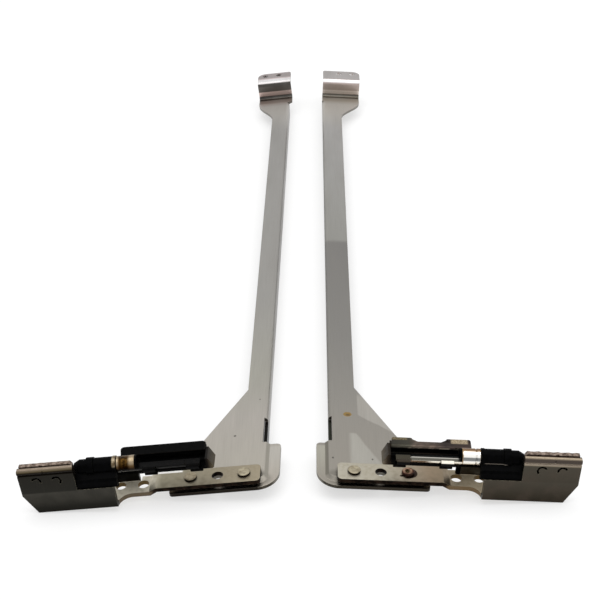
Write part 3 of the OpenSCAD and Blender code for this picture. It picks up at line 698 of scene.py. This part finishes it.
def leaf_material(side):
    """Folded leaf: black oxide, on the right one worn through to grey and brass tones, with a painted
    reflection on its folded inner end and, on the right, a painted highlight on its outer foot.
    """
    g = Graph("leaf_finish", side)
    mottle = g.noise(0.9, 5.0, 0.62)
    fine = g.noise(4.0, 4.0, 0.6)
    colour = g.mix(g.step(mottle, 0.35, 0.7), tone(1, 1, 1), tone(5, 5, 5))
    cap = g.step(g.u, FOLD_U + 0.5, FOLD_U)
    if side == "right":
        flange = g.times(g.facing((0, 0, 1), 0.3, 0.7), g.step(g.v, LEAF_FLANGE_V - 0.25, LEAF_FLANGE_V))
        colour = g.mix(flange, colour, flange_wear_and_glint(g, mottle, fine))
        # painted reflection on the folded inner end
        cap_sheen = [(11.0, tone(118, 110, 95)), (11.5, tone(88, 79, 66)), (12.1, tone(46, 38, 30)),
                 (FOLD_U, tone(22, 17, 12))]
        colour = g.mix(cap, colour, leaf_cap(g, fine, cap_sheen, tone(24, 20, 15)))
        # painted highlight on the outer foot
        foot_glint = g.times(g.step(g.v, -1.2, -1.45), g.step(g.w, 7.95, 8.15))
        foot_glint_tone = g.profile(g.u, [(17, tone(58, 52, 44)), (20, tone(250, 244, 230))])
        colour = g.mix(foot_glint, colour, foot_glint_tone)
        bare, wear = g.largest(flange, cap, foot_glint), 0.35
    else:
        # painted reflection on the folded inner end
        cap_sheen = [(11.2, tone(84, 76, 60)), (11.8, tone(60, 53, 42)), (12.3, tone(22, 18, 15)),
                 (FOLD_U, tone(9, 8, 7))]
        colour = g.mix(cap, colour, leaf_cap(g, fine, cap_sheen, tone(14, 12, 10)))
        bare, wear = cap, 0.1
    rubbed = g.times(g.edges(0.12), g.step(fine, 0.45, 0.62), wear)
    colour = g.mix(rubbed, colour, tone(96, 84, 66))
    g.bump(fine, 0.12, 0.03, 0.1)
    return g.finish(colour, bare, g.step(mottle, 0.3, 0.7, 0.30, 0.48), gloss=0.02)


def bright_tongue(g, fine):
    """Tongue of the right shaft: a grey flat with a painted highlight line and painted shade along its
    back, and a front of painted bright reflections over a dull foot, darker at its inner end.
    """
    # painted highlight line on the flat, painted shade at its back
    flat = g.profile(g.v, [(-1.8, tone(100, 98, 90)), (-0.95, tone(98, 96, 88)),
                           (-0.8, tone(188, 184, 176)), (-0.62, tone(188, 184, 176)),
                           (-0.5, tone(10, 9, 8)), (0.1, tone(6, 6, 6))])
    around = g.around()
    # painted bright reflections round the front
    front = g.profile(around, [(88, tone(100, 98, 90)), (97, tone(104, 102, 94)),
                               (101, tone(252, 246, 232)), (124, tone(250, 238, 214)),
                               (132, tone(150, 112, 78)), (150, tone(104, 76, 54)),
                               (164, tone(60, 40, 28))])
    tongue = g.mix(g.facing((0, 0, 1), 0.5, 0.8), front, flat)
    dull = g.mix(g.step(fine, 0.3, 0.7), tone(84, 62, 40), tone(116, 90, 62))
    low = g.times(g.step(around, 98.0, 102.0), g.step(g.v, -1.3, -1.5))
    tongue = g.mix(g.times(g.step(g.u, 22.5, 20.0), low), tongue, dull)
    end = g.times(g.step(g.u, 17.3, 17.0), g.step(g.v, 0.0, -0.2))
    return g.mix(end, tongue, tone(66, 62, 52))


def bright_collar(g, turned, mottle):
    """Collar of the right shaft: painted reflections in bright and dark bands round it, with brown ends.
    """
    bands = [(-60, tone(90, 66, 46)), (-4, tone(120, 92, 66)), (12, tone(176, 150, 120)),
             (20, tone(252, 250, 246)), (56, tone(252, 250, 244)), (64, tone(120, 122, 122)),
             (84, tone(128, 130, 130)), (91, tone(252, 250, 244)), (122, tone(250, 240, 220)),
             (134, tone(130, 84, 48)), (148, tone(24, 16, 11)), (180, tone(8, 7, 6))]
    collar = g.profile(g.around(), bands)
    collar = g.mix(g.times(g.step(turned, 0.5, 0.75), 0.25), collar, tone(176, 166, 148))
    ends = g.largest(g.step(g.u, COLLAR_U[0] + 0.35, COLLAR_U[0] + 0.1),
                     g.step(g.u, COLLAR_U[1] - 0.3, COLLAR_U[1] - 0.1))
    return g.mix(g.times(ends, g.step(mottle, 0.3, 0.6, 0.4, 1.0)), collar, tone(140, 112, 70))


def greasy_collar_and_shade(g, mottle):
    """Collar of the left shaft: brown grease, paler at both ends, with painted shade that darkens it down
    its front.
    """
    grease = g.mix(g.step(mottle, 0.42, 0.58), tone(38, 25, 10), tone(78, 56, 24))
    pale = g.largest(g.step(g.u, COLLAR_U[1] - 0.8, COLLAR_U[1] - 0.3),
                     g.band(g.u, COLLAR_U[0] - 0.1, COLLAR_U[0] + 1.2, 0.4))
    collar = g.mix(pale, grease, tone(152, 136, 112))
    shade = g.profile(g.around(), [(-60, (1.0, 1.0, 1.0)), (52, (1.0, 1.0, 1.0)),
                                   (72, (0.34, 0.26, 0.17)), (92, (0.08, 0.055, 0.04)),
                                   (112, (0.01, 0.01, 0.01)), (180, (0.0, 0.0, 0.0))])
    return g.mix(1.0, collar, shade, "MULTIPLY")


def shaft_material(side):
    """Turned steel: bright with painted reflections on the right, brown and black with old grease on the
    left, and painted shade in its corners.
    """
    g = Graph("turned_steel", side)
    turned = g.noise(6.0, 2.0, 0.5, g.stretch((4.0, 0.2, 0.2)))
    mottle = g.noise(1.1, 5.0, 0.6)
    fine = g.noise(3.0, 4.0, 0.6)
    if side == "right":
        tongue, collar = bright_tongue(g, fine), bright_collar(g, turned, mottle)
        rough = (0.16, 0.30)
    else:
        tongue = g.mix(g.step(mottle, 0.5, 0.75), tone(2, 2, 2), tone(16, 13, 10))
        collar = greasy_collar_and_shade(g, mottle)
        rough = (0.26, 0.42)
    colour = g.mix(g.step(g.u, COLLAR_U[0] - 0.15, COLLAR_U[0]), tongue, collar)
    # painted shade with dirt in corners
    colour = g.mix(g.times(g.crevice(0.5), 0.6), colour, tone(26, 18, 10))
    g.bump(turned, 0.1, 0.02, 0.1)
    return g.finish(colour, 1.0, g.step(mottle, 0.3, 0.7, *rough))


def rusty_rivet_material():
    """Rivet whose dished head shows a light ring round a dark centre, with rust below."""
    g = Graph("rusty_rivet", "right")
    fine = g.noise(2.6, 5.0, 0.65)
    reach = g.math("ADD", g.radius((OUTER_RIVET_U - 0.2, ROW_V + 0.25)), g.wobble(fine, 0.5))
    colour = g.profile(reach, [(0.0, tone(84, 72, 40)), (0.38, tone(56, 42, 18)),
                               (0.58, tone(150, 120, 96)), (0.85, tone(172, 142, 120)),
                               (1.1, tone(128, 92, 68)), (1.22, tone(60, 28, 17)), (1.6, tone(34, 15, 8))])
    colour = g.mix(g.times(g.step(fine, 0.5, 0.68), 0.6), colour, tone(92, 50, 26))
    g.bump(fine, 0.3, 0.05, 0.12)
    return g.finish(colour, 0.8, g.step(fine, 0.3, 0.7, 0.35, 0.6))


def dress_hinge(side):
    """Gives the nodes of one hinge their materials, and returns the two that the details share."""
    black, leaf = clutch_material(side), leaf_material(side)
    if side == "left":
        outer_rivet = mottled_metal(side, "worn_rivet", tone(128, 118, 98), tone(160, 150, 128), True)
    else:
        outer_rivet = rusty_rivet_material()
    finishes = {
        "rail": rail_material(side),
        "arm_bracket": arm_material(side),
        "backing_plate": backing_material(side),
        "inner_rivet": mottled_metal(side, "rivet_head", tone(138, 128, 108), tone(166, 158, 136), True),
        "outer_rivet": outer_rivet,
        "clutch_housing": black,
        "friction_clip": mottled_metal(side, "clip_steel", tone(110, 110, 112), tone(140, 140, 142)),
        "shaft": shaft_material(side),
        "retaining_ring": mottled_metal(side, "ring_steel", tone(100, 100, 102), tone(130, 130, 132)),
        "leaf": leaf,
    }
    for name, material in finishes.items():
        dress(f"{side}_{name}", material)
    return black, leaf


def prism(name, side, axis, outline, ends, body, material, round_mm=0.12):
    """Solid piece with an outline across one direction of the hinge, rounded along its edges."""
    def placed(a, b, along):
        order = {"u": (along, a, b), "v": (a, along, b), "w": (a, b, along)}
        return hinge_matrix(side) @ (Vector(order[axis]) * MM)

    shape = bmesh.new()
    rings = [[shape.verts.new(placed(a, b, along)) for a, b in outline] for along in ends]
    shape.faces.new(rings[0])
    shape.faces.new(rings[1])
    for i in range(len(outline)):
        j = (i + 1) % len(outline)
        shape.faces.new((rings[0][i], rings[0][j], rings[1][j], rings[1][i]))
    bmesh.ops.recalc_face_normals(shape, faces=shape.faces)
    bmesh.ops.bevel(shape, geom=list(shape.edges), offset=round_mm * MM, segments=3, affect="EDGES",
                    clamp_overlap=True)
    mesh = bpy.data.meshes.new(name)
    shape.to_mesh(mesh)
    shape.free()
    mesh.shade_smooth()
    mesh.set_sharp_from_angle(angle=math.radians(45))
    piece = bpy.data.objects.new(name, mesh)
    bpy.context.collection.objects.link(piece)
    mesh.materials.append(material)
    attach(piece, body)


def arc(centre, radius, start, end, steps=12):
    """Points on an arc, in degrees from the first axis of the outline."""
    turn = [math.radians(start + (end - start) * i / steps) for i in range(steps + 1)]
    return [(centre[0] + radius * math.cos(t), centre[1] + radius * math.sin(t)) for t in turn]


def rectangle(across, up):
    """Outline between two values across and two values up."""
    return [(across[0], up[0]), (across[1], up[0]), (across[1], up[1]), (across[0], up[1])]


def add_crimps(side, leaf):
    """Lobes crimped under the tongue, one on each foot of the leaf."""
    lobe = arc((CRIMP_V, AXIS_W - 2.15), CRIMP_R, 90, 270)
    lobe += [(CRIMP_V + 0.8, AXIS_W - 2.5), (CRIMP_V + 0.7, AXIS_W - 1.8)]
    for name, start in CRIMP_U.items():
        prism(f"{side}_{name}_crimp", side, "u", lobe, (start, start + CRIMP_LEN),
              f"{side}_turning_leaf", leaf)


def add_shaft_end(side, black, leaf):
    """Shoulder of the shaft beside its collar, and the stop on the end of the leaf behind it."""
    turning = f"{side}_turning_leaf"
    disc = arc((0, AXIS_W), SHOULDER_R, 0, 350, 35)
    prism(f"{side}_shaft_shoulder", side, "u", disc, SHOULDER_U, turning, black, 0.08)
    stop = rectangle(STOP_U, STOP_W)
    prism(f"{side}_leaf_stop", side, "v", stop, STOP_V, turning, leaf, 0.08)


def add_clutch_web(side, black):
    """Web behind the chamfered outer end of the clutch."""
    reach = WEB_REACH_U[side]
    web = [(WEB_U, 5.4), (reach - 0.5, 5.6), (reach, 6.6), (reach, 8.4), (WEB_U, 8.6)]
    prism(f"{side}_clutch_web", side, "v", web, WEB_V, "fixed_brackets", black)


def add_lug_flank(black):
    """Inner end of the right arm's lug, with a cut corner."""
    (start, end), (foot, top) = FLANK_U, FLANK_W
    flank = [(start, foot), (end, foot), (end, top), (start + 0.25, top), (start, top - 0.35)]
    prism("right_lug_flank", "right", "v", flank, FLANK_V, "fixed_brackets", black)


def add_leaf_wrap(leaf):
    """Thick wrapped edge of the left leaf's flange, with one round corner."""
    (start, end), (front, back) = WRAP_U, WRAP_V
    outline = [(start, front), (end, front)] + arc(WRAP_CORNER, WRAP_CORNER_R, 0, 90)
    outline += [(start + 0.7, back), (start, back - 0.55)]
    prism("left_leaf_wrap", "left", "w", outline, (AXIS_W - WRAP_HALF, AXIS_W + WRAP_HALF),
          "left_turning_leaf", leaf, 0.3)


def add_details(side, black, leaf):
    """Small forms of one hinge that the solids leave out."""
    add_crimps(side, leaf)
    add_shaft_end(side, black, leaf)
    add_clutch_web(side, black)
    if side == "right":
        add_lug_flank(black)
    else:
        add_leaf_wrap(leaf)


def make_camera():
    """Puts the camera where the photograph was taken."""
    data = bpy.data.cameras.new("camera")
    data.sensor_width = SENSOR_MM
    data.lens = FOCAL_PX / IMAGE_PX * SENSOR_MM
    data.clip_start = 0.01
    data.clip_end = 10.0
    camera = bpy.data.objects.new("camera", data)
    turn = Matrix.Rotation(math.radians(-CAMERA_YAW), 4, "Z")
    tilt = Matrix.Rotation(math.radians(90.0 - CAMERA_PITCH), 4, "X")
    roll = Matrix.Rotation(math.radians(CAMERA_ROLL), 4, "Z")
    camera.matrix_world = Matrix.Translation(Vector(CAMERA_PLACE) * MM) @ turn @ tilt @ roll
    bpy.context.collection.objects.link(camera)
    bpy.context.scene.camera = camera


def seen_not_lit(tree):
    """1 for rays from the camera, from metal and through glass, 0 for the light on surfaces."""
    path = tree.nodes.new("ShaderNodeLightPath")
    total = path.outputs["Is Camera Ray"]
    for name in ("Is Glossy Ray", "Is Transmission Ray"):
        either = tree.nodes.new("ShaderNodeMath")
        either.operation = "MAXIMUM"
        tree.links.new(total, either.inputs[0])
        tree.links.new(path.outputs[name], either.inputs[1])
        total = either.outputs[0]
    return total


def paper_material():
    """White paper that takes shadows, part of it plain white to the camera and to metal."""
    material = bpy.data.materials.new("floor_paper")
    material.use_nodes = True
    tree = material.node_tree
    shader = tree.nodes["Principled BSDF"]
    shader.inputs["Base Color"].default_value = (FLOOR_GREY, FLOOR_GREY, FLOOR_GREY, 1.0)
    shader.inputs["Roughness"].default_value = 0.9
    shader.inputs["Specular IOR Level"].default_value = 0.0
    glow = tree.nodes.new("ShaderNodeEmission")
    share = tree.nodes.new("ShaderNodeMath")
    share.operation = "MULTIPLY"
    share.inputs[1].default_value = FLOOR_GLOW
    tree.links.new(seen_not_lit(tree), share.inputs[0])
    blend = tree.nodes.new("ShaderNodeMixShader")
    tree.links.new(share.outputs[0], blend.inputs[0])
    tree.links.new(shader.outputs[0], blend.inputs[1])
    tree.links.new(glow.outputs[0], blend.inputs[2])
    tree.links.new(blend.outputs[0], tree.nodes["Material Output"].inputs["Surface"])
    return material


def make_floor():
    """Large sheet of white paper under the pair."""
    far = FLOOR_REACH
    corners = [(-far, -far, 0), (far, -far, 0), (far, far, 0), (-far, far, 0)]
    mesh = bpy.data.meshes.new("floor")
    mesh.from_pydata(corners, [], [(0, 1, 2, 3)])
    mesh.materials.append(paper_material())
    floor = bpy.data.objects.new("floor", mesh)
    bpy.context.collection.objects.link(floor)


def make_world():
    """Even white room, a little dimmer for the light on surfaces."""
    world = bpy.data.worlds.new("studio")
    bpy.context.scene.world = world
    world.use_nodes = True
    tree = world.node_tree
    background = tree.nodes["Background"]
    background.inputs["Color"].default_value = (1.0, 1.0, 1.0, 1.0)
    strength = tree.nodes.new("ShaderNodeMapRange")
    strength.inputs["To Min"].default_value = ROOM_LIGHT
    strength.inputs["To Max"].default_value = ROOM_SEEN
    tree.links.new(seen_not_lit(tree), strength.inputs["Value"])
    tree.links.new(strength.outputs[0], background.inputs["Strength"])


def make_lamp(name, place_mm, size_mm, watts):
    """Square-cornered soft lamp that looks at the middle of the floor."""
    data = bpy.data.lights.new(name, "AREA")
    data.shape = "RECTANGLE"
    data.size = size_mm[0] * MM
    data.size_y = size_mm[1] * MM
    data.energy = watts
    lamp = bpy.data.objects.new(name, data)
    lamp.location = Vector(place_mm) * MM
    aim = -Vector(place_mm).normalized()
    lamp.rotation_euler = aim.to_track_quat("-Z", "Y").to_euler()
    bpy.context.collection.objects.link(lamp)


for side in SIDES:
    black_finish, leaf_finish = dress_hinge(side)
    add_details(side, black_finish, leaf_finish)
make_camera()
make_floor()
make_world()
for lamp in LAMPS:
    make_lamp(*lamp)
bpy.context.scene.view_settings.view_transform = "Standard"
